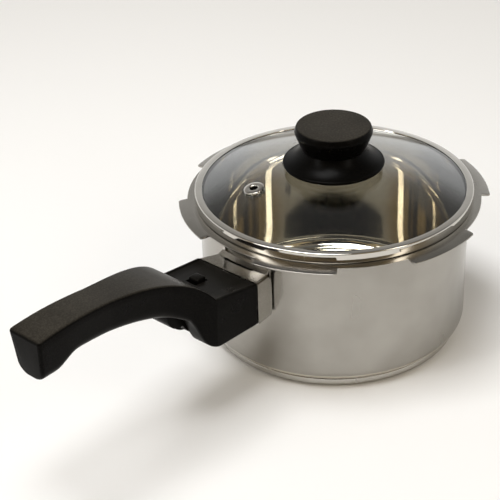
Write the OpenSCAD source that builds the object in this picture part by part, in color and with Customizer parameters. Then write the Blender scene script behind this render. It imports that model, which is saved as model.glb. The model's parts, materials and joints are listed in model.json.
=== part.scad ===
// Saucepan with glass lid: a pressed steel pan with a bayonet rim and an encapsulated base,
// a moulded side handle with a sprung lock lever, and a domed glass lid with a knob.
// Origin: centre of the base on the worktop. +Z is up and the handle runs along +X.

/* [Pan body] */
// Outer radius of the pan wall
pan_r = 90; // [72:1:120]
// Height of the rim flange above the worktop
rim_z = 98.5; // [85:0.5:130]
// Thickness of the pan wall sheet
wall_t = 1.2; // [0.8:0.1:1.6]
// Outside radius of the bottom corner of the wall
corner_r = 10; // [7:0.5:14]
// Radius on the underside of the outward rim bend
rim_bend_r = 1.8; // [1:0.1:3]
// Width of the flange beyond the wall
flange_w = 8.2; // [6:0.1:12]

/* [Bayonet lugs] */
// Reach of each lug beyond the flange
lug_reach = 5.8; // [3:0.1:8]
// Angle covered by one lug, in degrees
lug_span = 31; // [20:1:36]
// How far a lug's outer edge dips below the flange
lug_dip = 0.7; // [0:0.1:1.5]
// Lug centre angles, counter-clockwise from the handle
lug_angles = [-90, -31, 24.5, 82.5, 142.5, 206];

/* [Base] */
// Thickness of the aluminium core under the pan
core_t = 4.2; // [3:0.1:7]
// Thickness of the steel cap over the core
cap_t = 0.7; // [0.5:0.1:1]
// Outer radius of the steel cap, short of the wall by this much
cap_inset = 5; // [4.5:0.1:6]
// Outside radius of the cap's lower edge
cap_edge_r = 3; // [2:0.5:4]

/* [Handle block] */
// Distance from the pan wall to the moulded block
collar_len = 16.7; // [14:0.1:30]
// Width of the block at its pan end
block_w = 51; // [46:0.5:60]
// Length of the flat seat on the block
seat_len = 34.8; // [32:0.1:44]
// Height of the block at its pan end
block_h = 31.2; // [29:0.1:38]
// Depth of the block's top edge below the rim
block_drop = 10.5; // [8:0.1:16]
// Rise of the seat away from the pan, in degrees
seat_angle = 8.3; // [4:0.1:10]
// Plan taper of each side of the block, in degrees
block_taper = 2.6; // [0:0.1:4]

/* [Grip] */
// Length of the grip beyond the seat
grip_len = 127.5; // [110:0.5:150]
// Height of the grip's crest above the seat corner
hump_h = 28.5; // [24:0.5:34]
// Half width of the grip along its waist
grip_hw = 12; // [10:0.5:15]
// Depth of the grip from top to underside at its waist
grip_depth = 22.5; // [18:0.5:26]
// Extra depth of the hook under the tail
hook_h = 6; // [2:0.5:8]
// Slope of the end face, as a run over the tail depth
end_undercut = 2; // [0:0.5:6]

/* [Lock lever] */
// Radius of the lever's hinge pin
pin_r = 2; // [1.5:0.1:3]
// Running clearance on radius between the pin and the lever
pin_fit = 0.06; // [0.03:0.01:0.1]
// Travel of the lever when squeezed, in degrees
lever_travel = 7; // [4:0.5:8]
// Distance of the hinge pin behind the end of the seat
pin_back = 1; // [0:0.1:3]
// Depth of the hinge pin below the end of the seat
pin_drop = 9; // [8:0.1:10]
// Distance from the hinge pin to the middle of the catch
catch_arm = 13; // [11.5:0.1:14]
// Width of the catch that stands through the seat
catch_w = 7.5; // [6:0.5:12]
// Length of the catch along the handle
catch_len = 7.5; // [6:0.5:10]
// Height that the catch stands proud of the seat
catch_proud = 2; // [1:0.1:2.4]
// Sideways offset of the catch from the handle's centre line
catch_side = -4; // [-4:0.5:4]
// Width of the two-finger trigger
trigger_w = 16; // [12:0.5:18]
// Side clearance between the lever and its channel
channel_gap = 0.6; // [0.4:0.1:1]
// Wire radius of the return spring
spring_wire_r = 0.4; // [0.3:0.05:0.5]
// Mean coil radius of the return spring
spring_r = 2.6; // [2:0.1:3]
// Number of turns in the return spring
spring_turns = 6; // [4:1:7]

/* [Bracket and flame guard] */
// Thickness of the bracket saddle on the pan wall
saddle_t = 1.2; // [1:0.1:2]
// Half angle of the saddle round the wall
saddle_half = 12.5; // [12:0.5:16]
// Thickness of the flame guard sheet
guard_t = 1; // [0.8:0.1:1.5]
// Width of the tongue that carries the handle
tongue_w = 22; // [16:1:26]
// Thickness of the tongue
tongue_t = 3; // [2.5:0.1:4]
// Length of the tongue inside the block
tongue_in = 26; // [22:1:28]
// Radius of the handle screw
screw_r = 2.5; // [2:0.1:3]

/* [Lid] */
// Outer radius of the lid band beyond the pan wall
band_over = 3.1; // [2:0.1:5]
// Height of the lid band above the flange
band_h = 7.1; // [6:0.1:9]
// Thickness of the band strip
band_t = 0.5; // [0.4:0.05:0.8]
// Depth that the band's inner wall reaches into the pan
band_plug = 6; // [4:0.5:9]
// Clearance on radius between the band's inner wall and the pan
plug_gap = 1.2; // [0.6:0.1:2]
// Rise of the glass dome above the band
dome_rise = 14.4; // [9:0.1:20]
// Thickness of the glass
glass_t = 4; // [3.5:0.1:5]
// Rest gap between the lid band and the flange
lid_gap = 0.1; // [0.05:0.01:0.2]

/* [Steam vent] */
// Distance of the vent from the lid's centre
vent_offset = 57; // [45:1:62]
// Angle of the vent from the handle
vent_angle = -27; // [-60:1:60]
// Radius of the eyelet's flange
vent_flange_r = 6.8; // [5.5:0.1:8]
// Radius of the steam hole
vent_hole_r = 2.7; // [1.5:0.1:3]
// Radius of the hole in the glass
vent_glass_r = 4.2; // [3.9:0.1:4.6]

/* [Knob] */
// Radius of the knob's cap
knob_r = 26; // [24.5:0.5:32]
// Height of the knob's cap above its skirt
knob_h = 15.7; // [14:0.1:24]
// Height of the sloping edge above the cap's widest line
knob_edge_h = 4.1; // [2:0.1:6]
// How much smaller the flat top is than the cap's widest line
knob_edge_in = 1.5; // [0.5:0.1:4]
// Radius of the neck between cap and skirt
neck_r = 21.4; // [18:0.1:24]
// Outer radius of the skirt
skirt_r = 33.8; // [30:0.1:40]
// Height of the skirt
skirt_h = 11.8; // [9:0.1:14]
// Thickness of the skirt's rim
skirt_rim_h = 2.6; // [2:0.1:4]
// Radius of the knob screw
knob_screw_r = 2.4; // [2:0.1:3]

/* [Hidden] */
$fn = 96;
fine_fn = 240;
// Overlap between shapes that are joined, and gap between pieces that rest on each other
lap = 0.02;
touch = 0.02;
// Clearance of a close fit
fit = 0.05;

// Pan levels and radii
shell_z = core_t + cap_t;
pan_ri = pan_r - wall_t;
flange_r = pan_r + flange_w;
lug_r = flange_r + lug_reach;
cap_r = pan_r - cap_inset;
corner_x = pan_r - corner_r;
corner_z = shell_z + corner_r;
cap_top = corner_z - sqrt(pow(corner_r, 2) - pow(cap_r - cap_t - 0.15 - corner_x, 2));

// Handle stations along X and levels along Z
block_x = pan_r + collar_len;
seat_z = rim_z - block_drop;
seat_x = block_x + seat_len;
seat_slope = tan(seat_angle);
seat_end_z = seat_z + seat_len * seat_slope;
floor_z = seat_z - block_h;
crest_z = seat_end_z + hump_h;
waist_x = seat_x + 0.46 * grip_len;
tail_x = seat_x + grip_len;
tail_z = crest_z + 2;
under_z = crest_z + 1.7 - grip_depth;
block_hw = block_w / 2;
block_hw_end = block_hw - seat_len * tan(block_taper);

// Lock lever: the pin, the catch and the two finger lobes
pin_x = seat_x + pin_back;
pin_z = seat_end_z - pin_drop;
catch_x = pin_x - catch_arm;
catch_top = seat_z + (catch_x - block_x) * seat_slope + catch_proud;
lobe_front = [pin_x + 2, pin_z - 6.5];
lobe_back = [pin_x + 14.8, pin_z + 2];
lobe_r = 11;
lever_top = pin_z + 8;
boss_r = pin_r + 3.5;
spring_x = pin_x + 17.5;
spring_gap = 0.15;
spring_z = lever_top + spring_gap;
spring_len = 11;
roof_z = lever_top + 6;
arm_end = catch_arm + catch_len / 2;
well_z = pin_z - boss_r - arm_end * sin(lever_travel) - 0.8;

// Bracket
saddle_r = pan_r + touch;
saddle_ro = saddle_r + saddle_t;
seam_r = pan_r + 5;
tongue_z = floor_z + 8;
tongue_end = block_x + tongue_in;
screw_x = block_x + tongue_in - 9;
nut_h = 4;
nut_r = 5;
washer_t = 1;
washer_r = 5.5;
head_r = 4.6;
head_h = 3;

// Lid
band_r = pan_r + band_over;
band_z = rim_z + lid_gap;
band_top = rim_z + band_h;
plug_r = pan_ri - plug_gap;
glass_r = band_r - band_t - 0.3;
lip_r = band_r - 4.8;
dome_top = band_top + dome_rise;
dome_edge_z = band_top - band_t - touch;
dome_sag = dome_top - dome_edge_z;
dome_r = (pow(lip_r, 2) + pow(dome_sag, 2)) / (2 * dome_sag);
dome_c = dome_top - dome_r;
vent_tilt = asin(vent_offset / dome_r);

// Knob stack, from the glass upwards and downwards
gasket_t = 1;
gasket_r = 13;
skirt_z = dome_top + touch + gasket_t;
cap_z = skirt_z + skirt_h;
cap_top_z = cap_z + knob_h;
insert_r = 4.4;
insert_h = 11;
under_r = 11;
under_top = dome_c + sqrt(pow(dome_r - glass_t, 2) - pow(under_r, 2)) - touch;
knob_washer_t = 1.2;
knob_head_h = 2.8;
knob_bore_r = 4;

function bez(p, t) = pow(1 - t, 3) * p[0] + 3 * t * pow(1 - t, 2) * p[1]
  + 3 * pow(t, 2) * (1 - t) * p[2] + pow(t, 3) * p[3];
function curve(p, n) = [for (i = [1:n]) bez(p, i / n)];

// Height of the seat plane at a distance along the handle
function seat_at(x) = seat_z + (x - block_x) * seat_slope;

// Height of the dome's outer face at a distance from the centre
function dome_at(r) = dome_c + sqrt(pow(dome_r, 2) - pow(r, 2));

// Quarter of a ring between two radii, in the quadrant given by two signs
module quarter_ring(r_out, r_in, sx, sy) {
  intersection() {
    difference() {
      circle(r_out);
      circle(r_in);
    }
    translate([sx > 0 ? 0 : -r_out, sy > 0 ? 0 : -r_out])
      square(r_out);
  }
}

// Box given by its two opposite corners
module block(a, b) {
  translate(a)
    cube(b - a);
}

// Solid about Z, cut from a ring sector between two angles
module sector(a0, a1) {
  rotate([0, 0, a0])
    rotate_extrude(angle = a1 - a0, $fn = fine_fn)
      children();
}

// Side outline stood up in the XZ plane and widened evenly about Y
module side_slab(width) {
  rotate([90, 0, 0])
    linear_extrude(height = width, center = true)
      children();
}

// Rod along Y
module cross_rod(x, z, r, y0, y1) {
  translate([x, y0, z])
    rotate([-90, 0, 0])
      cylinder(h = y1 - y0, r = r);
}

module tube(r_out, r_in, z0, z1) {
  translate([0, 0, z0])
    difference() {
      cylinder(h = z1 - z0, r = r_out);
      translate([0, 0, -1])
        cylinder(h = z1 - z0 + 2, r = r_in);
    }
}

// ---------- Pan ----------

module pan_profile() {
  translate([0, shell_z])
    square([corner_x + lap, wall_t]);
  translate([corner_x, corner_z])
    quarter_ring(corner_r, corner_r - wall_t, 1, -1);
  translate([pan_ri, corner_z - lap])
    square([wall_t, rim_z - wall_t - rim_bend_r - corner_z + 2 * lap]);
  translate([pan_r + rim_bend_r, rim_z - wall_t - rim_bend_r])
    quarter_ring(rim_bend_r + wall_t, rim_bend_r, -1, 1);
  translate([pan_r + rim_bend_r - lap, rim_z - wall_t])
    square([flange_w - rim_bend_r + lap, wall_t]);
}

module pan_shell() {
  color([0.72, 0.71, 0.69])
    union() {
      rotate_extrude($fn = fine_fn)
        pan_profile();
      for (a = lug_angles)
        sector(a - lug_span / 2, a + lug_span / 2)
          polygon([
            [flange_r - 1, rim_z - wall_t],
            [flange_r, rim_z - wall_t],
            [lug_r, rim_z - wall_t - lug_dip],
            [lug_r, rim_z - lug_dip],
            [flange_r, rim_z],
            [flange_r - 1, rim_z]
          ]);
    }
}

module base_core() {
  core_r = cap_r - cap_t - fit;
  core_edge = cap_edge_r - cap_t;
  color([0.6, 0.6, 0.6])
    rotate_extrude($fn = fine_fn) {
      translate([0, cap_t])
        square([core_r - core_edge + lap, core_t]);
      translate([0, cap_t + core_edge])
        square([core_r, core_t - core_edge]);
      translate([core_r - core_edge, cap_t])
        intersection() {
          translate([0, core_edge])
            circle(core_edge);
          square([core_edge, core_edge + lap]);
        }
    }
}

module base_cap() {
  color([0.68, 0.67, 0.65])
    rotate_extrude($fn = fine_fn) {
      square([cap_r - cap_edge_r + lap, cap_t]);
      translate([cap_r - cap_edge_r, cap_edge_r])
        quarter_ring(cap_edge_r, cap_edge_r - cap_t, 1, -1);
      translate([cap_r - cap_t, cap_edge_r - lap])
        square([cap_t, cap_top - cap_edge_r + lap]);
    }
}

// ---------- Bracket and flame guard ----------

saddle_z0 = floor_z + 2;
saddle_z1 = rim_z - wall_t - rim_bend_r - 0.4;
ledge_z = seat_at(seam_r);
ledge_wall_z = ledge_z + 2;
notch_z = ledge_wall_z;
notch_r = saddle_ro + 1.6;
notch_from = -11;
notch_to = 4.3;
slot_r0 = seam_r - 0.7;
slot_r1 = seam_r + 1.2;
slot_from = -8.4;
slot_to = 6.5;

module bracket_saddle() {
  color([0.7, 0.69, 0.67])
    difference() {
      union() {
        sector(-saddle_half, saddle_half)
          translate([saddle_r, saddle_z0])
            square([saddle_t, saddle_z1 - saddle_z0]);
        sector(-saddle_half, saddle_half)
          polygon([
            [saddle_ro - 0.3, ledge_wall_z - guard_t],
            [seam_r - 0.25, ledge_z - guard_t],
            [seam_r - 0.25, ledge_z],
            [saddle_ro - 0.3, ledge_wall_z]
          ]);
      }
      // notch over the ledge, with an opening between the ledge and the wall
      sector(notch_from, notch_to)
        translate([saddle_r - 1, notch_z])
          square([notch_r - saddle_r + 1, rim_z]);
      // slot along the seam
      sector(slot_from, slot_to)
        translate([slot_r0, ledge_z - 5])
          square([seam_r - slot_r0, 12]);
    }
}

module bracket_tongue() {
  color([0.62, 0.61, 0.6])
    difference() {
      union() {
        block([saddle_r + saddle_t - 0.5, -tongue_w / 2, tongue_z],
              [tongue_end, tongue_w / 2, tongue_z + tongue_t]);
        block([saddle_r + saddle_t - 0.5, -tongue_w / 2, tongue_z + tongue_t - lap],
              [block_x - 2, -tongue_w / 2 + tongue_t, tongue_z + 14]);
        block([saddle_r + saddle_t - 0.5, tongue_w / 2 - tongue_t, tongue_z + tongue_t - lap],
              [block_x - 2, tongue_w / 2, tongue_z + 14]);
      }
      translate([0, 0, tongue_z - 1])
        cylinder(h = 20, r = saddle_ro + touch, $fn = fine_fn);
      translate([screw_x, 0, tongue_z - 1])
        cylinder(h = tongue_t + 2, r = screw_r + 0.3);
    }
}

module tongue_nut() {
  color([0.75, 0.7, 0.55])
    translate([screw_x, 0, tongue_z + tongue_t + touch])
      difference() {
        cylinder(h = nut_h, r = nut_r, $fn = 6);
        translate([0, 0, -1])
          cylinder(h = nut_h + 2, r = screw_r + fit);
      }
}

// Plan outline of the flame guard, shrunk all round by the given amount
module guard_plan(inset) {
  near_x = pan_r - 6;
  polygon([
    [near_x, -(block_hw - (block_x - near_x) * tan(13) - inset)],
    [block_x - 0.1, -(block_hw - inset)],
    [block_x - 0.1, block_hw - inset],
    [near_x, block_hw - (block_x - near_x) * tan(13) - inset]
  ]);
}

// Side outline of the flame guard, shrunk top and bottom by the given amount
module guard_side(inset) {
  near_x = pan_r - 6;
  polygon([
    [near_x, seat_at(near_x) - block_h + inset],
    [block_x - 0.1, floor_z + inset],
    [block_x - 0.1, seat_z - inset],
    [near_x, seat_at(near_x) - inset]
  ]);
}

module guard_solid(inset) {
  intersection() {
    translate([0, 0, floor_z - 20])
      linear_extrude(height = block_h + 40)
        guard_plan(inset);
    side_slab(block_w + 10)
      guard_side(inset);
  }
}

module flame_guard() {
  color([0.74, 0.73, 0.71])
    difference() {
      guard_solid(0);
      guard_solid(guard_t);
      // open both ends
      block([0, -(block_hw - guard_t - 5), floor_z + guard_t + 1],
            [block_x + 5, block_hw - guard_t - 5, seat_z - guard_t - 5]);
      // clear the wall and its saddle
      translate([0, 0, floor_z - 20])
        cylinder(h = block_h + 40, r = saddle_ro + 0.3, $fn = fine_fn);
      // the top stops at the seam, with a wider slot along its middle
      translate([0, 0, ledge_z - 3])
        cylinder(h = 20, r = seam_r + 0.05, $fn = fine_fn);
      sector(slot_from, slot_to)
        translate([slot_r0, ledge_z - 5])
          square([slot_r1 - slot_r0, 12]);
    }
}

// ---------- Handle ----------

// Side outline of the handle: sloping seat, hump, grip, hook and finger curve
module handle_side() {
  bend_x = seat_x + 5.5;
  polygon(concat(
    [[block_x, floor_z], [block_x, seat_z], [seat_x, seat_end_z]],
    curve([[seat_x, seat_end_z], [seat_x + 9, seat_end_z + 0.42 * hump_h],
      [seat_x + 24, crest_z - 4.5], [waist_x, crest_z]], 14),
    curve([[waist_x, crest_z], [waist_x + 16, crest_z + 2],
      [tail_x - 28, tail_z + 3.5], [tail_x, tail_z]], 8),
    [[tail_x - end_undercut, under_z - hook_h]],
    curve([[tail_x - 13, under_z - hook_h], [tail_x - 20, under_z - hook_h],
      [tail_x - 24, under_z + 0.8], [tail_x - 34, under_z]], 8),
    curve([[tail_x - 34, under_z], [waist_x + 8, under_z - 1],
      [bend_x + 28, under_z - 6], [bend_x + 11, under_z - 18]], 10),
    curve([[bend_x + 11, under_z - 18], [bend_x + 4, floor_z + 17],
      [bend_x + 5, floor_z + 3], [seat_x - 3, floor_z]], 8)
  ));
}

// Half width of the handle, as a plan outline
module handle_plan() {
  half = concat(
    [[block_x, block_hw], [seat_x, block_hw_end]],
    curve([[seat_x, block_hw_end], [seat_x + 16, block_hw_end - 4.4],
      [seat_x + 38, grip_hw + 2], [seat_x + 73, grip_hw]], 12),
    [[tail_x - 3, grip_hw + 0.8], [tail_x, grip_hw - 1.8]]
  );
  polygon(concat(half, [for (i = [len(half) - 1:-1:0]) [half[i][0], -half[i][1]]]));
}

// Open channel for the lever, seen from the side
module channel_side() {
  polygon([
    [pin_x - 9, pin_z - 8],
    [pin_x - 2, floor_z - 5],
    [pin_x + 50, floor_z - 5],
    [pin_x + 33, roof_z],
    [pin_x + 4, roof_z],
    [pin_x - 4, pin_z + boss_r + 0.8],
    [pin_x - 9, pin_z + boss_r + 0.8]
  ]);
}

module handle_grip() {
  catch_x0 = catch_x - catch_len / 2 - 1.5;
  color([0.12, 0.115, 0.105])
    difference() {
      intersection() {
        side_slab(block_w + 10)
          handle_side();
        translate([0, 0, floor_z - 10])
          linear_extrude(height = crest_z - floor_z + 30)
            handle_plan();
      }
      // lever channel, open to the finger side
      side_slab(trigger_w + 2 * channel_gap)
        channel_side();
      // well for the catch, open through the seat
      translate([0, catch_side, 0])
        block([catch_x0, -catch_w / 2 - channel_gap, well_z],
              [catch_x + catch_len / 2 + 2.4, catch_w / 2 + channel_gap, seat_end_z + 5]);
      block([catch_x0, -trigger_w / 2 - channel_gap, pin_z - 8],
            [pin_x, trigger_w / 2 + channel_gap, pin_z + 3.5]);
      // well for the return spring
      translate([spring_x, 0, roof_z - 1])
        cylinder(h = spring_z + spring_len + spring_gap - roof_z + 1, r = spring_r + 1);
      // hinge pin bore, open on one side
      cross_rod(pin_x, pin_z, pin_r + fit, -block_w, trigger_w / 2 + 5);
      // pocket for the tongue and its nut
      block([block_x - 1, -tongue_w / 2 - 0.3, tongue_z - 0.3],
            [tongue_end + 0.5, tongue_w / 2 + 0.3, tongue_z + tongue_t + 0.3]);
      block([block_x - 1, -nut_r - 0.4, tongue_z],
            [screw_x + nut_r + 0.6, nut_r + 0.4, tongue_z + tongue_t + nut_h + 0.6]);
      // screw hole and counterbore from below
      translate([screw_x, 0, floor_z - 1])
        cylinder(h = 12, r = screw_r + 0.3);
      translate([screw_x, 0, floor_z - 1])
        cylinder(h = 1 + head_h + washer_t, r = washer_r + 0.4);
    }
}

module handle_screw() {
  seat = floor_z + head_h + washer_t - 1;
  color([0.7, 0.7, 0.7])
    translate([screw_x, 0, 0])
      difference() {
        union() {
          translate([0, 0, seat - head_h])
            cylinder(h = head_h, r = head_r);
          translate([0, 0, seat - lap])
            cylinder(h = tongue_z + tongue_t + nut_h - seat, r = screw_r);
        }
        for (a = [0, 90])
          rotate([0, 0, a])
            translate([-2.6, -0.5, seat - head_h - 1])
              cube([5.2, 1, 2.4]);
      }
}

module screw_washer() {
  seat = floor_z + head_h + washer_t - 1;
  color([0.65, 0.65, 0.65])
    translate([screw_x, 0, 0])
      tube(washer_r, screw_r + 0.3, seat + touch, seat + washer_t - touch);
}

// ---------- Lock lever ----------

module lever_side() {
  difference() {
    union() {
      translate(lobe_front)
        circle(lobe_r);
      translate(lobe_back)
        circle(lobe_r);
      translate([pin_x, pin_z])
        circle(boss_r);
      polygon([
        [pin_x, pin_z - boss_r], [lobe_back[0], pin_z],
        [lobe_back[0], lever_top], [pin_x, pin_z + boss_r]
      ]);
    }
    translate([pin_x - 30, lever_top])
      square([80, 30]);
    translate([pin_x - 30, pin_z + boss_r])
      square([30, 30]);
    translate([pin_x - 30, pin_z - 30])
      square([30 - boss_r, 60]);
  }
}

module lock_lever() {
  color([0.1, 0.1, 0.095])
    difference() {
      union() {
        side_slab(trigger_w)
          lever_side();
        // arm from the hinge boss to the catch
        translate([0, catch_side, 0])
          block([catch_x - catch_len / 2, -catch_w / 2, pin_z - boss_r],
                [pin_x - 2, catch_w / 2, pin_z + 1]);
        intersection() {
          translate([0, catch_side, 0])
            block([catch_x - catch_len / 2, -catch_w / 2, pin_z - boss_r],
                  [catch_x + catch_len / 2, catch_w / 2, catch_top + 5]);
          cross_rod(catch_x, catch_top - 14, 14, -block_hw, block_hw);
        }
      }
      cross_rod(pin_x, pin_z, pin_r + pin_fit, -block_hw, block_hw);
    }
}

module lever_pin() {
  color([0.75, 0.75, 0.75])
    cross_rod(pin_x, pin_z, pin_r, -trigger_w / 2 - 5, trigger_w / 2 + 4.8);
}

// Coil of round wire, swept along a helix that flattens at both ends
module lever_spring() {
  sides = 8;
  steps = 16 * spring_turns;
  rise = spring_len - 2 * spring_wire_r;
  function lift(t) = rise * (t - sin(360 * t) / 14);
  function ring(i) = [
    for (j = [0:sides - 1])
      let (t = i / steps, a = 360 * spring_turns * t, b = 360 * j / sides,
           r = spring_r + spring_wire_r * cos(b))
        [r * cos(a), r * sin(a), lift(t) + spring_wire_r * (1 + sin(b))]
  ];
  points = [for (i = [0:steps]) each ring(i)];
  skin = [
    for (i = [0:steps - 1])
      for (j = [0:sides - 1])
        let (k = (j + 1) % sides)
          [i * sides + j, (i + 1) * sides + j, (i + 1) * sides + k, i * sides + k]
  ];
  first = [for (j = [0:sides - 1]) j];
  last = [for (j = [sides - 1:-1:0]) steps * sides + j];
  color([0.8, 0.8, 0.8])
    translate([spring_x, 0, spring_z])
      polyhedron(points = points, faces = concat([first], skin, [last]), convexity = 8);
}

// ---------- Lid ----------

module lid_frame_at_vent() {
  rotate([0, 0, vent_angle])
    translate([0, 0, dome_c])
      rotate([0, vent_tilt, 0])
        translate([0, 0, dome_r])
          children();
}

module lid_glass() {
  color([0.8, 0.88, 0.86, 0.35])
    difference() {
      rotate_extrude($fn = fine_fn)
        intersection() {
          translate([0, dome_c])
            difference() {
              circle(dome_r, $fn = 720);
              circle(dome_r - glass_t, $fn = 720);
            }
          translate([0, band_z + band_t + 0.2])
            square([glass_r, band_h + dome_rise]);
        }
      translate([0, 0, dome_top - 30])
        cylinder(h = 40, r = knob_bore_r);
      lid_frame_at_vent()
        translate([0, 0, -20])
          cylinder(h = 30, r = vent_glass_r);
    }
}

module lid_rim_band() {
  ledge_top = dome_at(plug_r) - glass_t / cos(asin(plug_r / dome_r)) - touch - 0.1;
  color([0.78, 0.77, 0.74])
    rotate_extrude($fn = fine_fn) {
      // outer wall
      translate([band_r - band_t, band_z])
        square([band_t, band_h - lid_gap]);
      // lip folded over the glass
      translate([lip_r, band_top - band_t])
        square([band_r - lip_r - lap, band_t]);
      // flat that rests on the flange
      translate([plug_r - band_t, band_z])
        square([band_r - plug_r + band_t - lap, band_t]);
      // inner wall, from under the glass down into the pan
      translate([plug_r - band_t, band_z - band_plug])
        square([band_t, ledge_top - band_z + band_plug]);
    }
}

module vent_eyelet() {
  tube_r = vent_glass_r - fit;
  color([0.76, 0.75, 0.72])
    lid_frame_at_vent()
      rotate_extrude()
        difference() {
          union() {
            translate([0, touch])
              square([vent_flange_r - 0.5, 1]);
            translate([vent_flange_r - 0.5, touch + 0.5])
              circle(0.5);
            translate([0, -glass_t - 2.4])
              square([tube_r, glass_t + 2.5]);
          }
          translate([-1, -glass_t - 4])
            square([vent_hole_r + 1, glass_t + 10]);
        }
}

module vent_washer() {
  sag = 0.25;
  color([0.7, 0.69, 0.67])
    lid_frame_at_vent()
      tube(vent_flange_r, vent_glass_r + fit, -glass_t - sag - 1, -glass_t - sag);
}

// ---------- Knob ----------

module knob_grip() {
  color([0.2, 0.19, 0.18])
    rotate_extrude($fn = fine_fn)
      difference() {
        polygon([
          [0, cap_z + touch], [neck_r, cap_z + touch],
          [knob_r, cap_top_z - knob_edge_h], [knob_r - knob_edge_in, cap_top_z], [0, cap_top_z]
        ]);
        translate([-1, cap_z - 1])
          square([insert_r + fit + 1, insert_h + 1.2]);
      }
}

module knob_insert() {
  color([0.78, 0.62, 0.32])
    tube(insert_r, knob_screw_r + fit, cap_z + touch, cap_z + insert_h);
}

// The skirt's upper face is a hollow sweep from the neck down to the rim
module knob_skirt() {
  rim_r = skirt_rim_h / 2;
  neck = [neck_r, cap_z];
  rim = [skirt_r - rim_r, skirt_z + skirt_rim_h];
  sweep_r = 21;
  mid = (neck + rim) / 2;
  half = norm(rim - neck) / 2;
  side = [neck[1] - rim[1], rim[0] - neck[0]] / (2 * half);
  centre = mid + side * sqrt(pow(sweep_r, 2) - pow(half, 2));
  color([0.16, 0.15, 0.14])
    rotate_extrude($fn = fine_fn)
      difference() {
        union() {
          difference() {
            translate([0, skirt_z])
              square([skirt_r - rim_r, skirt_h]);
            translate(centre)
              circle(sweep_r);
            translate([neck_r, cap_z])
              square([skirt_r, 10]);
          }
          translate([skirt_r - rim_r, skirt_z + rim_r])
            circle(rim_r);
        }
        translate([-1, skirt_z - 1])
          square([knob_screw_r + 0.4 + 1, skirt_h + 2]);
        // hollow underside between the hub and the rim
        intersection() {
          translate([gasket_r + 1, skirt_z - 1])
            square([skirt_r - 2.6 - gasket_r - 1, skirt_h]);
          translate([0, -2])
            difference() {
              translate([0, skirt_z - 1])
                square([skirt_r, skirt_h]);
              translate(centre)
                circle(sweep_r);
            }
        }
      }
}

module knob_gasket() {
  color([0.85, 0.85, 0.85])
    tube(gasket_r, knob_screw_r + 0.4, dome_top + touch / 2, skirt_z - touch / 2);
}

module knob_under_gasket() {
  color([0.85, 0.85, 0.85])
    tube(under_r, knob_screw_r + 0.4, under_top - gasket_t, under_top);
}

module knob_washer() {
  top = under_top - gasket_t - touch;
  color([0.7, 0.69, 0.67])
    tube(under_r - 1, knob_screw_r + 0.3, top - knob_washer_t, top);
}

module knob_screw() {
  head_top = under_top - gasket_t - knob_washer_t - 2 * touch;
  color([0.72, 0.72, 0.7])
    difference() {
      union() {
        translate([0, 0, head_top - knob_head_h])
          cylinder(h = knob_head_h, r = 2 * knob_screw_r);
        translate([0, 0, head_top - lap])
          cylinder(h = cap_z + insert_h - 1 - head_top, r = knob_screw_r);
      }
      for (a = [0, 90])
        rotate([0, 0, a])
          translate([-2.6, -0.5, head_top - knob_head_h - 1])
            cube([5.2, 1, 2.2]);
    }
}

pan_shell();
base_core();
base_cap();
bracket_saddle();
bracket_tongue();
tongue_nut();
flame_guard();
handle_grip();
handle_screw();
screw_washer();
lock_lever();
lever_pin();
lever_spring();
lid_glass();
lid_rim_band();
vent_eyelet();
vent_washer();
knob_grip();
knob_insert();
knob_skirt();
knob_gasket();
knob_under_gasket();
knob_washer();
knob_screw();
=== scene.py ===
"""Saucepan with glass lid: the looks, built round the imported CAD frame. Outlines are in millimetres."""
import math
import bmesh
import bpy
import json
from mathutils import Matrix, Vector


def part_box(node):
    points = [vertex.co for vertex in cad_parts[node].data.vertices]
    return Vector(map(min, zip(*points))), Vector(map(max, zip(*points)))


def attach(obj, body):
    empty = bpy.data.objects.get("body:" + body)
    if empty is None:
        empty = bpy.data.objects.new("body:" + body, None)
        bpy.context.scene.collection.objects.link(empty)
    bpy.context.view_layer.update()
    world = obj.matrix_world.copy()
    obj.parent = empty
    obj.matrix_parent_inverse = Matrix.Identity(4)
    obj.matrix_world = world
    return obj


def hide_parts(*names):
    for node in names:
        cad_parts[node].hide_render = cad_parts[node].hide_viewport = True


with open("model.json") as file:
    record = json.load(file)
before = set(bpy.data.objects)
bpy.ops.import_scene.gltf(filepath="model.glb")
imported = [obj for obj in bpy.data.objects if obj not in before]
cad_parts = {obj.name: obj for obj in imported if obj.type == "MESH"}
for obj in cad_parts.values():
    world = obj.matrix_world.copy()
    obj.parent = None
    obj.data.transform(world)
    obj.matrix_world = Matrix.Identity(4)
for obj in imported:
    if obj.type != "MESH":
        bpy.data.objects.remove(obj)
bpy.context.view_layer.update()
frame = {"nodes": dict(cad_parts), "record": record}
MM = 0.001

# ---------------------------------------------------------------- sizes
PAN_R = 90.0
WALL_T = 1.2
PAN_RI = PAN_R - WALL_T
RIM_Z = 98.5
CORNER_R = 10.0
SHELL_Z = 4.9
BEND_R = 1.8
FLANGE_R = 98.2
LUG_R = 104.0
LUG_SPAN = 31.0
LUG_DIP = 0.7
LUG_ANGLES = (-90, -31, 24.5, 82.5, 142.5, 206)
CAP_R = 85.0
CAP_T = 0.7
CAP_EDGE_R = 3.0
CAP_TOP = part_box("base_cap")[1][2] / MM

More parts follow.
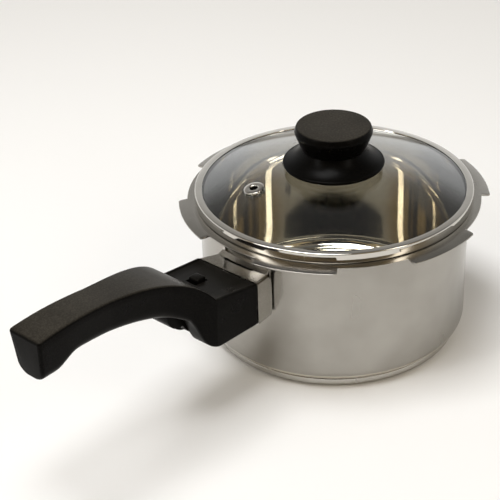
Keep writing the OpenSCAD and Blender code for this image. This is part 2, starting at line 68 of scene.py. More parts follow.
COLLAR_LEN = 16.7
SEAT_LEN = 34.8
BLOCK_H = 31.2
GRIP_LEN = 127.5
GRIP_DEPTH = 22.5
BLOCK_X = PAN_R + COLLAR_LEN
BLOCK_HW = 25.5
SEAT_X = BLOCK_X + SEAT_LEN
SEAT_Z = RIM_Z - 10.5
SLOPE = math.tan(math.radians(8.3))
SEAT_END_Z = SEAT_Z + (SEAT_X - BLOCK_X) * SLOPE
FLOOR_Z = SEAT_Z - BLOCK_H
BLOCK_HW_END = BLOCK_HW - (SEAT_X - BLOCK_X) * math.tan(math.radians(2.6))
TAIL_X = SEAT_X + GRIP_LEN
WAIST_X = SEAT_X + 0.46 * GRIP_LEN
CREST_Z = SEAT_END_Z + 28.5
TAIL_Z = CREST_Z + 2
UNDER_Z = CREST_Z + 1.7 - GRIP_DEPTH
HOOK = 6.0
GRIP_HW = 12.0
END_UNDERCUT = 2.0
SEAT_SINK = 0.9

PIN_X = SEAT_X + 1
PIN_Z = SEAT_END_Z - 9
BOSS_R = 5.5
LEVER_TOP = PIN_Z + 8
ROOF_Z = LEVER_TOP + 6
SPRING_TOP = LEVER_TOP + 0.15 + 11 + 0.15
SPRING_X = PIN_X + 17.5
SPRING_POCKET_R = 3.6
HANDLE_BORE_R = 2.05
LEVER_BORE_R = 2.06
TRIGGER_W = 16.0
CHANNEL_GAP = 0.6
CATCH_X = PIN_X - 13
CATCH_W = 7.5
CATCH_LEN = 7.5
CATCH_SIDE = -4.0
CATCH_CROWN_R = 14.0
LEVER_TRAVEL = math.radians(7)
WELL_Z = PIN_Z - BOSS_R - (PIN_X - CATCH_X + CATCH_LEN / 2) * math.sin(LEVER_TRAVEL) - 0.8
CATCH_TOP = SEAT_Z + (CATCH_X - BLOCK_X) * SLOPE + 2
TONGUE_Z = FLOOR_Z + 8
TONGUE_END = BLOCK_X + 26
SCREW_X = BLOCK_X + 17
SEAM_R = PAN_R + 5

BAND_R = 93.1
BAND_T = 0.5
BAND_Z = RIM_Z + 0.1
BAND_TOP = RIM_Z + 7.1
PLUG_R = PAN_RI - 1.2
LIP_R = BAND_R - 4.8
GLASS_R = BAND_R - BAND_T - 0.3
GLASS_T = 4.0
DOME_TOP = BAND_TOP + 14.4
DOME_SAG = DOME_TOP - (BAND_TOP - BAND_T - 0.02)
DOME_R = (LIP_R ** 2 + DOME_SAG ** 2) / (2 * DOME_SAG)
DOME_C = DOME_TOP - DOME_R
VENT_R = 57.0
VENT_ANGLE = math.radians(-27)

SKIRT_Z = DOME_TOP + 1.02
CAP_Z = SKIRT_Z + 11.8
KNOB_TOP = CAP_Z + 15.7
KNOB_R = 26.0
KNOB_EDGE_H = 4.1
KNOB_EDGE_IN = 1.5
NECK_R = 21.4
SKIRT_R = 33.8
SKIRT_RIM = 2.6


# ---------------------------------------------------------------- outlines
def arc(cx, cz, r, a0, a1, n):
    """Points along a round stretch, from angle a0 to a1 in degrees."""
    turns = [math.radians(a0 + (a1 - a0) * i / n) for i in range(n + 1)]
    return [(cx + r * math.cos(a), cz + r * math.sin(a)) for a in turns]


def bezier(p, n):
    """Points along a cubic curve, without its first point."""
    out = []
    for i in range(1, n + 1):
        t = i / n
        w = ((1 - t) ** 3, 3 * t * (1 - t) ** 2, 3 * t * t * (1 - t), t ** 3)
        out.append(tuple(sum(w[k] * p[k][d] for k in range(4)) for d in (0, 1)))
    return out


def along(points, x):
    """Height of a left-to-right outline at x."""
    for (x0, z0), (x1, z1) in zip(points, points[1:]):
        if x0 <= x <= x1:
            return z0 + (z1 - z0) * (x - x0) / max(x1 - x0, 1e-9)
    return points[-1][1] if x > points[-1][0] else points[0][1]


def smooth(t):
    t = min(max(t, 0.0), 1.0)
    return t * t * (3 - 2 * t)


# ---------------------------------------------------------------- mesh helpers
def piece(name, verts, faces, sharp=35.0):
    """New object from millimetre points, smooth except across sharp edges."""
    mesh = bpy.data.meshes.new(name)
    mesh.from_pydata([(x * MM, y * MM, z * MM) for x, y, z in verts], [], faces)
    bm = bmesh.new()
    bm.from_mesh(mesh)
    bmesh.ops.remove_doubles(bm, verts=bm.verts, dist=1e-7)
    bmesh.ops.recalc_face_normals(bm, faces=bm.faces)
    bm.to_mesh(mesh)
    bm.free()
    for polygon in mesh.polygons:
        polygon.use_smooth = True
    mesh.set_sharp_from_angle(angle=math.radians(sharp))
    obj = bpy.data.objects.new(name, mesh)
    bpy.context.scene.collection.objects.link(obj)
    return obj


def grid_faces(rows, cols, wrap_rows, wrap_cols):
    """Quads between neighbouring rows and columns of a point grid."""
    faces = []
    for i in range(rows if wrap_rows else rows - 1):
        for j in range(cols if wrap_cols else cols - 1):
            k, m = (i + 1) % rows, (j + 1) % cols
            faces.append((i * cols + j, k * cols + j, k * cols + m, i * cols + m))
    return faces


def lathe(name, outline, segments=192, closed=True, sharp=35.0):
    """Solid of revolution about Z. An open outline starts and ends on the axis."""
    verts = []
    for i in range(segments):
        a = 2 * math.pi * i / segments
        verts += [(r * math.cos(a), r * math.sin(a), z) for r, z in outline]
    return piece(name, verts, grid_faces(segments, len(outline), True, closed), sharp)


def tidy(obj, sharp=35.0):
    """Keep only the result of the object's modifiers as its mesh."""
    graph = bpy.context.evaluated_depsgraph_get()
    graph.update()
    mesh = bpy.data.meshes.new_from_object(obj.evaluated_get(graph))
    obj.modifiers.clear()
    obj.data = mesh
    for polygon in mesh.polygons:
        polygon.use_smooth = True
    mesh.set_sharp_from_angle(angle=math.radians(sharp))
    return obj


def cut(obj, cutters, sharp=35.0):
    """Take each cutter out of the object, then throw the cutters away."""
    for cutter in cutters:
        step = obj.modifiers.new("cut", "BOOLEAN")
        step.operation = "DIFFERENCE"
        step.solver = "EXACT"
        step.object = cutter
        tidy(obj, sharp)
        bpy.data.objects.remove(cutter)
    return obj


def bevel(obj, width, segments=3, angle=40.0, sharp=35.0):
    """Round the object's sharp edges."""
    step = obj.modifiers.new("edge", "BEVEL")
    step.width = width * MM
    step.segments = segments
    step.limit_method = "ANGLE"
    step.angle_limit = math.radians(angle)
    return tidy(obj, sharp)


def box(a, b):
    verts = [(x, y, z) for x in (a[0], b[0]) for y in (a[1], b[1]) for z in (a[2], b[2])]
    faces = [(0, 1, 3, 2), (4, 6, 7, 5), (0, 4, 5, 1), (2, 3, 7, 6), (0, 2, 6, 4), (1, 5, 7, 3)]
    return piece("cutter", verts, faces)


def prism(name, outline, y0, y1):
    """Side outline in XZ, widened from y0 to y1."""
    n = len(outline)
    verts = [(x, y0, z) for x, z in outline] + [(x, y1, z) for x, z in outline]
    faces = [tuple(range(n)), tuple(range(2 * n - 1, n - 1, -1))]
    faces += [(i, i + n, (i + 1) % n + n, (i + 1) % n) for i in range(n)]
    return piece(name, verts, faces)


def rod(name, outline, origin, direction, segments=64, closed=True):
    """Lathed piece whose axis passes through origin along a direction."""
    obj = lathe(name, outline, segments, closed)
    turn = Vector((0, 0, 1)).rotation_difference(Vector(direction)).to_matrix().to_4x4()
    obj.data.transform(Matrix.Translation(Vector(origin) * MM) @ turn)
    return obj


def drill(radius, low, high, origin, direction, segments=64):
    """Round cutter along a direction, between two distances from its origin."""
    outline = [(0, low), (radius, low), (radius, high), (0, high)]
    return rod("cutter", outline, origin, direction, segments, False)


def place(obj, body, node, material):
    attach(obj, body)
    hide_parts(node)
    obj.data.materials.clear()
    obj.data.materials.append(material)
    return obj


# ---------------------------------------------------------------- materials
class Look:
    """Node material being built: one Principled shader and helpers that feed it."""

    def __init__(self, name, **values):
        self.material = bpy.data.materials.new(name)
        self.material.use_nodes = True
        self.tree = self.material.node_tree
        self.shader = self.tree.nodes["Principled BSDF"]
        self.place = self.tree.nodes.new("ShaderNodeTexCoord").outputs["Object"]
        for socket, value in values.items():
            self.shader.inputs[socket.replace("_", " ")].default_value = value

    def link(self, a, b):
        self.tree.links.new(a, b)
        return b

    def noise(self, scale, detail=3.0, stretch=(1, 1, 1), source=None):
        spread = self.tree.nodes.new("ShaderNodeMapping")
        spread.inputs["Scale"].default_value = stretch
        self.link(source or self.place, spread.inputs["Vector"])
        node = self.tree.nodes.new("ShaderNodeTexNoise")
        node.inputs["Scale"].default_value = scale
        node.inputs["Detail"].default_value = detail
        self.link(spread.outputs["Vector"], node.inputs["Vector"])
        return node.outputs["Fac"]

    def remap(self, value, low, high, out_low, out_high):
        node = self.tree.nodes.new("ShaderNodeMapRange")
        for socket, number in zip(("From Min", "From Max", "To Min", "To Max"),
                                  (low, high, out_low, out_high)):
            node.inputs[socket].default_value = number
        self.link(value, node.inputs["Value"])
        return node.outputs["Result"]

    def blend(self, value, color_a, color_b, low=0.3, high=0.7):
        node = self.tree.nodes.new("ShaderNodeMix")
        node.data_type = "RGBA"
        for socket in node.inputs:
            if socket.identifier == "A_Color":
                socket.default_value = (*color_a, 1)
            if socket.identifier == "B_Color":
                socket.default_value = (*color_b, 1)
            if socket.identifier == "Factor_Float":
                self.link(self.remap(value, low, high, 0, 1), socket)
        return [s for s in node.outputs if s.identifier == "Result_Color"][0]

    def mix(self, factor, a, b):
        node = self.tree.nodes.new("ShaderNodeMix")
        node.data_type = "RGBA"
        sockets = {socket.identifier: socket for socket in node.inputs}
        self.link(factor, sockets["Factor_Float"])
        self.link(a, sockets["A_Color"])
        self.link(b, sockets["B_Color"])
        return [s for s in node.outputs if s.identifier == "Result_Color"][0]

    def math(self, operation, a, b=None):
        node = self.tree.nodes.new("ShaderNodeMath")
        node.operation = operation
        for socket, value in zip(node.inputs, (a, b)):
            if isinstance(value, (int, float)):
                socket.default_value = value
            elif value is not None:
                self.link(value, socket)
        return node.outputs["Value"]

    def radius_and_height(self):
        """Distance from the Z axis and height, in metres."""
        parts = self.tree.nodes.new("ShaderNodeSeparateXYZ")
        self.link(self.place, parts.inputs["Vector"])
        x, y, z = (parts.outputs[k] for k in "XYZ")
        r = self.math("SQRT", self.math("ADD", self.math("MULTIPLY", x, x), self.math("MULTIPLY", y, y)))
        return r, z

    def rings(self, spacing):
        """Fine concentric or stacked lines, as turning and polishing leave them."""
        r, z = self.radius_and_height()
        lines = self.tree.nodes.new("ShaderNodeCombineXYZ")
        self.link(self.math("MULTIPLY", r, 1 / spacing), lines.inputs["X"])
        self.link(self.math("MULTIPLY", z, 1 / spacing), lines.inputs["Y"])
        node = self.tree.nodes.new("ShaderNodeTexNoise")
        node.inputs["Scale"].default_value = 1.0
        node.inputs["Detail"].default_value = 2.0
        self.link(lines.outputs["Vector"], node.inputs["Vector"])
        return node.outputs["Fac"]

    def bump(self, height, distance, strength=1.0):
        node = self.tree.nodes.new("ShaderNodeBump")
        node.inputs["Distance"].default_value = distance
        node.inputs["Strength"].default_value = strength
        self.link(height, node.inputs["Height"])
        self.link(node.outputs["Normal"], self.shader.inputs["Normal"])

    def feed(self, socket, value):
        self.link(value, self.shader.inputs[socket])


def steel(name, tone=(0.52, 0.505, 0.475), dull=(0.46, 0.445, 0.415), rough=(0.16, 0.26), line=2e-6):
    """Stainless steel: faint smudges in colour and gloss, fine polishing lines."""
    look = Look(name, Metallic=1.0)
    smudge = look.noise(38, 4)
    look.feed("Base Color", look.blend(smudge, tone, dull))
    look.feed("Roughness", look.remap(look.noise(60, 5, (1, 1, 0.5)), 0.3, 0.7, *rough))
    look.bump(look.rings(0.00035), line)
    return look.material


def pan_steel():
    """Satin wall outside, mirror finish on the rim bead and inside."""
    look = Look("pan_steel", Metallic=1.0)
    smudge = look.noise(30, 4)
    r, z = look.radius_and_height()
    outside = look.remap(r, (PAN_RI + 0.3) * MM, (PAN_RI + 0.5) * MM, 0, 1)
    satin_tone = look.blend(smudge, (0.385, 0.369, 0.338), (0.315, 0.300, 0.273))
    mirror_tone = look.blend(smudge, (0.68, 0.645, 0.575), (0.62, 0.585, 0.515))
    look.feed("Base Color", look.mix(outside, mirror_tone, satin_tone))
    satin = look.remap(look.noise(55, 5, (1, 1, 0.4)), 0.3, 0.7, 0.15, 0.24)
    inner_floor = look.remap(z, (SHELL_Z + WALL_T + 3) * MM, (SHELL_Z + WALL_T) * MM, 0, 0.07)
    inside = look.math("SUBTRACT", 1.0, outside)
    gloss = look.math("MULTIPLY", look.math("ADD", inner_floor, 0.03), inside)
    satin = look.math("MULTIPLY", look.math("ADD", satin, 0.035), outside)
    look.feed("Roughness", look.math("ADD", gloss, satin))
    waves = look.math("MULTIPLY", look.noise(26, 2, (1, 1, 0.35)), inside)
    lines = look.math("MULTIPLY", look.rings(0.0003), outside)
    look.bump(look.math("ADD", look.math("MULTIPLY", waves, 60.0), lines), 1.2e-6)
    return look.material


def phenolic(name, dark, light, grain, rough, depth, grain_from=-1.0, sheen_from=None):
    """Black moulding with a painted sheen on the faces that look up: a paler colour standing in for the
    overhead light they catch. The skin is grained above a height in metres.
    """
    look = Look(name, Specular_IOR_Level=0.035)
    # Paler colour for the painted sheen on upward faces, in place of overhead light.
    painted_sheen = (0.036, 0.032, 0.0255)
    speck = look.noise(grain, 5)
    height = look.radius_and_height()[1]
    grained = look.remap(height, grain_from - 0.0006, grain_from, 0, 1)
    facing = look.tree.nodes.new("ShaderNodeSeparateXYZ")
    look.link(look.tree.nodes.new("ShaderNodeTexCoord").outputs["Normal"], facing.inputs["Vector"])
    upward = look.remap(facing.outputs["Z"], 0.55, 1.0, 0, 1)
    patchy = look.remap(look.noise(26, 5), 0.3, 0.7, 0.6, 1.0)
    # Mask for the painted sheen: faces that look up, in patches, only where the skin is grained.
    sheen_mask = look.math("MULTIPLY", look.math("MULTIPLY", upward, patchy), grained)
    # Near the seat the painted sheen is cut to an eighth; it reaches full strength further along the handle.
    if sheen_from:
        reach = look.remap(look.radius_and_height()[0], sheen_from - 0.012, sheen_from + 0.02, 0.12, 1)
        sheen_mask = look.math("MULTIPLY", sheen_mask, reach)
    plain = look.blend(speck, dark, light, 0.42, 0.66)
    sheen_colour = look.blend(speck, tuple(0.8 * c for c in painted_sheen), tuple(1.25 * c for c in painted_sheen), 0.42, 0.66)
    look.feed("Base Color", look.mix(sheen_mask, plain, sheen_colour))
    satin = look.remap(look.noise(45, 4), 0.3, 0.7, *rough)
    gloss = look.math("MULTIPLY", look.math("SUBTRACT", 1.0, grained), -0.2)
    look.feed("Roughness", look.math("ADD", satin, gloss))
    look.bump(look.math("MULTIPLY", look.noise(grain * 0.8, 4), grained), depth)
    return look.material


def glass():
    """Clear tempered glass with the faintest green and a few wiped smears."""
    look = Look("lid_glass", Transmission_Weight=1.0, IOR=1.5)
    look.feed("Base Color", look.blend(look.noise(18, 2), (0.955, 0.98, 0.965), (0.985, 0.995, 0.985)))
    look.feed("Roughness", look.remap(look.noise(70, 4), 0.5, 0.8, 0.0, 0.02))
    return look.material


def silicone():
    look = Look("gasket_silicone", Transmission_Weight=0.3)
    look.feed("Base Color", look.blend(look.noise(120, 3), (0.78, 0.78, 0.75), (0.66, 0.66, 0.63)))
    look.feed("Roughness", look.remap(look.noise(90, 3), 0.3, 0.7, 0.45, 0.6))
    return look.material


PAN_STEEL = pan_steel()
SATIN_STEEL = steel("guard_steel", rough=(0.18, 0.28))
BASE_STEEL = steel("base_steel", rough=(0.2, 0.3), line=5e-6)
BAND_STEEL = steel("band_steel", tone=(0.62, 0.60, 0.56), dull=(0.56, 0.54, 0.50), rough=(0.05, 0.11),
                   line=1e-6)
SCREW_STEEL = steel("fastener_steel", rough=(0.22, 0.34))
ALUMINIUM = steel("base_aluminium", tone=(0.76, 0.76, 0.77), dull=(0.68, 0.68, 0.69), rough=(0.35, 0.5))
BRASS = steel("insert_brass", tone=(0.78, 0.60, 0.30), dull=(0.66, 0.48, 0.22), rough=(0.2, 0.35))
# The last argument sets where along the handle the painted sheen on upward faces builds up.
HANDLE_BLACK = phenolic("handle_phenolic", (0.0020, 0.0018, 0.0015), (0.0045, 0.0041, 0.0034), 900,
                        (0.26, 0.36), 6e-6, sheen_from=(SEAT_X + 6) * MM)
LEVER_BLACK = phenolic("lever_plastic", (0.0020, 0.0018, 0.0016), (0.0042, 0.0038, 0.0033), 1100,
                       (0.30, 0.40), 5e-6, sheen_from=(SEAT_X + 6) * MM)
KNOB_BLACK = phenolic("knob_phenolic", (0.0016, 0.0015, 0.0013), (0.0030, 0.0027, 0.0023), 700,
                      (0.44, 0.54), 2.5e-5, (KNOB_TOP - 0.25) * MM)
GLASS = glass()
SILICONE = silicone()

SLOT_LOOKS = {
    "pan_steel": PAN_STEEL, "base_aluminium": ALUMINIUM, "base_steel": BASE_STEEL,
    "bracket_steel": SATIN_STEEL, "guard_steel": SATIN_STEEL, "fastener_steel": SCREW_STEEL,
    "handle_phenolic": HANDLE_BLACK, "lever_plastic": LEVER_BLACK, "lid_glass": GLASS,
    "band_steel": BAND_STEEL, "knob_phenolic": KNOB_BLACK, "insert_brass": BRASS,
    "gasket_silicone": SILICONE,
}
for entry in frame["record"]["subparts"]:
    node = frame["nodes"][entry["node"]]
    for slot in node.material_slots:
        slot.material = SLOT_LOOKS[entry["material_slot"]]


# ---------------------------------------------------------------- pan shell
def lug_reach(angle):
    """Share of the full lug reach at an angle in degrees, with small rounded corners."""
    corner = 0.9
    for centre in LUG_ANGLES:
        off = abs((angle - centre + 180) % 360 - 180)
        inside = LUG_SPAN / 2 - off
        if inside > 0:
            return math.sqrt(max(0.0, 1 - (1 - min(inside / corner, 1)) ** 2)) if inside < corner else 1.0
    return 0.0


def rim_angles():
    """Even steps round the rim, closer together at the ends of each lug."""
    marks = {round(i * 1.5, 4) for i in range(240)}
    for centre in LUG_ANGLES:
        for sign in (-1, 1):
            edge = centre + sign * LUG_SPAN / 2
            for inner in (-0.02, 0.004, 0.06, 0.2, 0.45, 0.9):
                marks.add(round((edge - sign * inner) % 360, 4))
    return sorted(marks)


def pan_shell():
    """One skin: inside floor and wall, rim bead, flange with lugs, outside wall and floor."""
    edge = 0.35
    bead = (PAN_R + BEND_R, RIM_Z - WALL_T - BEND_R)
    corner = (PAN_R - CORNER_R, SHELL_Z + CORNER_R)
    inside = [(0, SHELL_Z + WALL_T), (30, SHELL_Z + WALL_T), (60, SHELL_Z + WALL_T)]
    inside += arc(*corner, CORNER_R - WALL_T, -90, 0, 14)
    inside += [(PAN_RI, z) for z in (30, 50, 70, 85)]
    inside += arc(*bead, BEND_R + WALL_T, 180, 90, 10) + [(FLANGE_R - 2.5, RIM_Z)]
    under = [(FLANGE_R - 2.5, RIM_Z - WALL_T)] + arc(*bead, BEND_R, 90, 180, 8)
    outside = [(PAN_R, z) for z in (85, 70, 50, 30)] + arc(*corner, CORNER_R, 0, -90, 16)
    outside += [(60, SHELL_Z), (30, SHELL_Z), (0, SHELL_Z)]
    angles = rim_angles()
    verts = []
    for angle in angles:
        reach = lug_reach(angle)
        out = FLANGE_R + (LUG_R - FLANGE_R) * reach
        dip = LUG_DIP * reach
        lip = [(FLANGE_R - 0.4, RIM_Z), (max(out - edge, FLANGE_R - 0.35), RIM_Z - dip)]
        lip += [(out - edge * (1 - math.sin(t)), RIM_Z - dip - edge * (1 - math.cos(t)))
                for t in (0.4, 0.8, 1.2, math.pi / 2)]
        lip += [(out - edge * (1 - math.cos(t)), RIM_Z - dip - WALL_T + edge * (1 - math.sin(t)))
                for t in (0, 0.4, 0.8, 1.2, math.pi / 2)]
        lip += [(FLANGE_R - 0.4, RIM_Z - WALL_T)]
        turn = math.radians(angle)
        for r, z in inside + lip + under + outside:
            verts.append((r * math.cos(turn), r * math.sin(turn), z))
    count = len(verts) // len(angles)
    return piece("pan_shell_skin", verts, grid_faces(len(angles), count, True, False), 30)


place(pan_shell(), "pan", "pan_shell", PAN_STEEL)


def base_cap():
    low = (CAP_R - CAP_EDGE_R, CAP_EDGE_R)
    outline = [(0, 0), (40, 0), (78, 0)] + arc(*low, CAP_EDGE_R, -90, 0, 10)
    outline += [(CAP_R, CAP_TOP - 0.3), (CAP_R - 0.12, CAP_TOP - 0.08), (CAP_R - 0.35, CAP_TOP)]
    outline += [(CAP_R - CAP_T, CAP_TOP)] + arc(*low, CAP_EDGE_R - CAP_T, 0, -90, 8)
    outline += [(78, CAP_T), (40, CAP_T), (0, CAP_T)]
    return lathe("base_cap_pressing", outline, 240, closed=False)


place(base_cap(), "pan", "base_cap", BASE_STEEL)


# ---------------------------------------------------------------- handle
TOP_LINE = [(BLOCK_X, SEAT_Z), (SEAT_X, SEAT_END_Z)]
TOP_LINE += bezier([(SEAT_X, SEAT_END_Z), (SEAT_X + 9, SEAT_END_Z + 12), (SEAT_X + 24, CREST_Z - 4.5),
                    (WAIST_X, CREST_Z)], 40)
TOP_LINE += bezier([(WAIST_X, CREST_Z), (WAIST_X + 16, CREST_Z + 2), (TAIL_X - 28, TAIL_Z + 3.5),
                    (TAIL_X, TAIL_Z)], 24)
BEND_X = SEAT_X + 5.5
LOW_LINE = [(BLOCK_X, FLOOR_Z)]
LOW_LINE += list(bezier([(SEAT_X - 3, FLOOR_Z), (BEND_X + 5, FLOOR_Z + 3), (BEND_X + 4, FLOOR_Z + 17),
                         (BEND_X + 11, UNDER_Z - 18)], 30))
LOW_LINE.insert(1, (SEAT_X - 3, FLOOR_Z))
LOW_LINE += bezier([(BEND_X + 11, UNDER_Z - 18), (BEND_X + 28, UNDER_Z - 6), (WAIST_X + 8, UNDER_Z - 1),
                    (TAIL_X - 34, UNDER_Z)], 30)
LOW_LINE += bezier([(TAIL_X - 34, UNDER_Z), (TAIL_X - 24, UNDER_Z + 0.8), (TAIL_X - 20, UNDER_Z - HOOK),
                    (TAIL_X - 13, UNDER_Z - HOOK)], 14)
LOW_LINE += [(TAIL_X, UNDER_Z - HOOK)]
PLAN_LINE = [(BLOCK_X, BLOCK_HW), (SEAT_X, BLOCK_HW_END)]
PLAN_LINE += bezier([(SEAT_X, BLOCK_HW_END), (SEAT_X + 16, BLOCK_HW_END - 4.4),
                     (SEAT_X + 38, GRIP_HW + 2), (SEAT_X + 73, GRIP_HW)], 24)
PLAN_LINE += [(TAIL_X, GRIP_HW + 0.8)]


def rounded_section(top, low, hw_top, hw_low, r_top, r_low, inset, sink=0.0):
    """Closed YZ section with drafted sides; its top can be sunk between two raised edges."""
    top, low = top - inset, low + inset
    hw_top, hw_low = hw_top - inset, hw_low - inset
    r_top, r_low = max(r_top - inset, 0.25), max(min(r_low, hw_low - 0.2) - inset * 0.5, 0.25)
    half = [(hw_top * k, top - sink) for k in (0.0, 0.3, 0.6)]
    half += [(hw_top - r_top - 1.6, top - sink), (hw_top - r_top - 1.2, top - 0.8 * sink)]
    half += [(hw_top - r_top - 0.7, top - 0.1 * sink)]
    half += arc(hw_top - r_top, top - r_top, r_top, 90, 4, 6)
    z_a, z_b = top - r_top, low + r_low
    half += [(hw_top + (hw_low - hw_top) * k, z_a + (z_b - z_a) * k) for k in (0.25, 0.5, 0.75)]
    half += arc(hw_low - r_low, low + r_low, r_low, -4, -90, 10)
    half += [((hw_low - r_low) * k, low) for k in (0.6, 0.3)]
    mirrored = [(-y, z) for y, z in reversed(half[1:])]
    return half + [(0, low)] + mirrored


def handle_stations():
    """Stations along the handle as (x, inset), with rounded ends."""
    rim = 1.6
    ends = [(rim * (1 - math.cos(a)), rim * (1 - math.sin(a)))
            for a in (0, 0.25, 0.5, 0.8, 1.1, 1.35, math.pi / 2)]
    front = [(BLOCK_X + dx * 0.35, inset * 0.35) for dx, inset in ends]
    back = [(TAIL_X - dx * 1.3, inset * 1.3) for dx, inset in reversed(ends)]
    middle, x = [], BLOCK_X + 3
    while x < TAIL_X - 4:
        middle.append((x, 0))
        x += 1.0 if SEAT_X - 5 < x < SEAT_X + 34 else 2.5
    extra = [(SEAT_X - 0.25, 0), (SEAT_X + 0.25, 0)]
    return front + sorted(middle + extra) + back


def handle_body():
    verts, rows = [], 0
    for x, inset in handle_stations():
        top, low, hw = along(TOP_LINE, x), along(LOW_LINE, x), along(PLAN_LINE, x)
        grip = smooth((x - SEAT_X - 8) / 30)
        draft = 1.2 + 0.6 * grip
        r_low = 2.2 + 6.3 * grip
        sink = SEAT_SINK * (1 - smooth((x - SEAT_X + 1) / 6))
        ring = rounded_section(top, low, hw, hw - draft, 1.3 + 0.5 * grip, r_low, inset, sink)
        lean = END_UNDERCUT * smooth((x - TAIL_X + 18) / 18)
        for y, z in ring:
            verts.append((x - lean * (top - z) / (top - low), y, z))
        rows += 1
    cols = len(verts) // rows
    faces = grid_faces(rows, cols, False, True)
    faces += [tuple(range(cols)), tuple(range((rows - 1) * cols, rows * cols))]
    return piece("handle_grip_moulding", verts, faces, 28)


def handle_grip():
    half = TRIGGER_W / 2 + CHANNEL_GAP
    catch_x0 = CATCH_X - CATCH_LEN / 2 - 1.5
    channel = [(PIN_X - 9, PIN_Z - 8), (PIN_X - 2, FLOOR_Z - 5), (PIN_X + 50, FLOOR_Z - 5),
               (PIN_X + 33, ROOF_Z), (PIN_X + 4, ROOF_Z), (PIN_X - 4, PIN_Z + BOSS_R + 0.8),
               (PIN_X - 9, PIN_Z + BOSS_R + 0.8)]
    return cut(handle_body(), [
        prism("cutter", channel, -half, half),
        box((catch_x0, CATCH_SIDE - CATCH_W / 2 - CHANNEL_GAP, WELL_Z),
            (CATCH_X + CATCH_LEN / 2 + 2.4, CATCH_SIDE + CATCH_W / 2 + CHANNEL_GAP, SEAT_END_Z + 5)),
        box((catch_x0, -half, PIN_Z - 8), (PIN_X, half, PIN_Z + 3.5)),
        box((BLOCK_X - 1, -11.3, TONGUE_Z - 0.3), (TONGUE_END + 0.5, 11.3, TONGUE_Z + 3.3)),
        box((BLOCK_X - 1, -5.4, TONGUE_Z), (SCREW_X + 5.6, 5.4, TONGUE_Z + 7.6)),
        drill(SPRING_POCKET_R, -1, SPRING_TOP - ROOF_Z, (SPRING_X, 0, ROOF_Z), (0, 0, 1), 48),
        drill(HANDLE_BORE_R, -30, 13, (PIN_X, 0, PIN_Z), (0, 1, 0), 32),
        rod("cutter", [(0, -1), (5.9, -1), (5.9, 3), (2.8, 3), (2.8, 11), (0, 11)],
            (SCREW_X, 0, FLOOR_Z), (0, 0, 1), 48, False),
    ], 28)


place(handle_grip(), "pan", "handle_grip", HANDLE_BLACK)


def lock_lever():
    """Two finger lobes and a hinge boss; the arm that ends in the catch is built by lock_catch."""
    radius = 11.0
    front = (PIN_X + 2, PIN_Z - 6.5)
    back = (PIN_X + 14.8, PIN_Z + 2)
    outline = arc(*back, radius, 33, -97, 20) + arc(*front, radius, -27, -133, 16)
    outline += [(PIN_X - BOSS_R, PIN_Z - 2), (PIN_X - BOSS_R, PIN_Z + 2)]
    outline += arc(PIN_X, PIN_Z, BOSS_R, 158, 92, 6)
    outline += [(PIN_X + 1, LEVER_TOP - 0.4), (PIN_X + 3, LEVER_TOP)]
    body = bevel(prism("lock_lever_moulding", outline, -TRIGGER_W / 2, TRIGGER_W / 2), 0.9, 4, 50)
    spring_pocket = drill(SPRING_POCKET_R, -0.5, 3, (SPRING_X, 0, LEVER_TOP), (0, 0, 1), 48)
    pin_bore = drill(LEVER_BORE_R, -12, 12, (PIN_X, 0, PIN_Z), (0, 1, 0), 48)
    return cut(body, [spring_pocket, pin_bore])


place(lock_lever(), "lever", "lock_lever", LEVER_BLACK)


def lock_catch():
    """Arm from the hinge boss and the crowned block that stands through the seat."""
    y0, y1 = CATCH_SIDE - CATCH_W / 2, CATCH_SIDE + CATCH_W / 2
    x0, x1 = CATCH_X - CATCH_LEN / 2, CATCH_X + CATCH_LEN / 2
    outline = [(PIN_X - BOSS_R - 0.02, PIN_Z - BOSS_R + 2.2), (x0, PIN_Z - BOSS_R)]
    spread = math.degrees(math.asin(CATCH_LEN / (2 * CATCH_CROWN_R)))
    outline += arc(CATCH_X, CATCH_TOP - CATCH_CROWN_R, CATCH_CROWN_R, 90 + spread, 90 - spread, 12)
    outline += [(x1, PIN_Z + 1), (PIN_X - BOSS_R - 0.02, PIN_Z + 1)]
    return bevel(prism("lock_catch_moulding", outline, y0, y1), 0.7, 3, 40)


catch = lock_catch()
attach(catch, "lever")
catch.data.materials.append(LEVER_BLACK)


# ---------------------------------------------------------------- flame guard
def seat_at(x):
    return SEAT_Z + (x - BLOCK_X) * SLOPE


def guard_tube(name, inset, x0, x1, radius):
    """Closed tube of rounded rectangles that follows the block's slope and narrows to the wall."""
    verts, rows = [], 12
    for i in range(rows):
        x = x0 + (x1 - x0) * i / (rows - 1)
        hw = BLOCK_HW - (BLOCK_X - x) * math.tan(math.radians(13)) - inset
        top, low = seat_at(x) - inset, seat_at(x) - BLOCK_H + inset
        ring = arc(hw - radius, top - radius, radius, 0, 90, 6)
        ring += arc(-hw + radius, top - radius, radius, 90, 180, 6)
        ring += arc(-hw + radius, low + radius, radius, 180, 270, 6)
        ring += arc(hw - radius, low + radius, radius, 270, 360, 6)
        verts += [(x, y, z) for y, z in ring]
    cols = len(verts) // rows
    faces = grid_faces(rows, cols, False, True)
    faces += [tuple(range(cols)), tuple(range((rows - 1) * cols, rows * cols))]
    return piece(name, verts, faces, 28)


def ring_sector(r0, r1, a0, a1, z0, z1):
    """Block between two radii and two angles, for cutting slots round the pan's axis."""
    steps = 24
    turns = [math.radians(a0 + (a1 - a0) * i / steps) for i in range(steps + 1)]
    verts = []
    for a in turns:
        verts += [(r * math.cos(a), r * math.sin(a), z) for r, z in ((r0, z0), (r1, z0), (r1, z1), (r0, z1))]
    faces = grid_faces(len(turns), 4, False, True) + [(0, 1, 2, 3), tuple(range(4 * steps, 4 * steps + 4))]
    return piece("cutter", verts, faces)


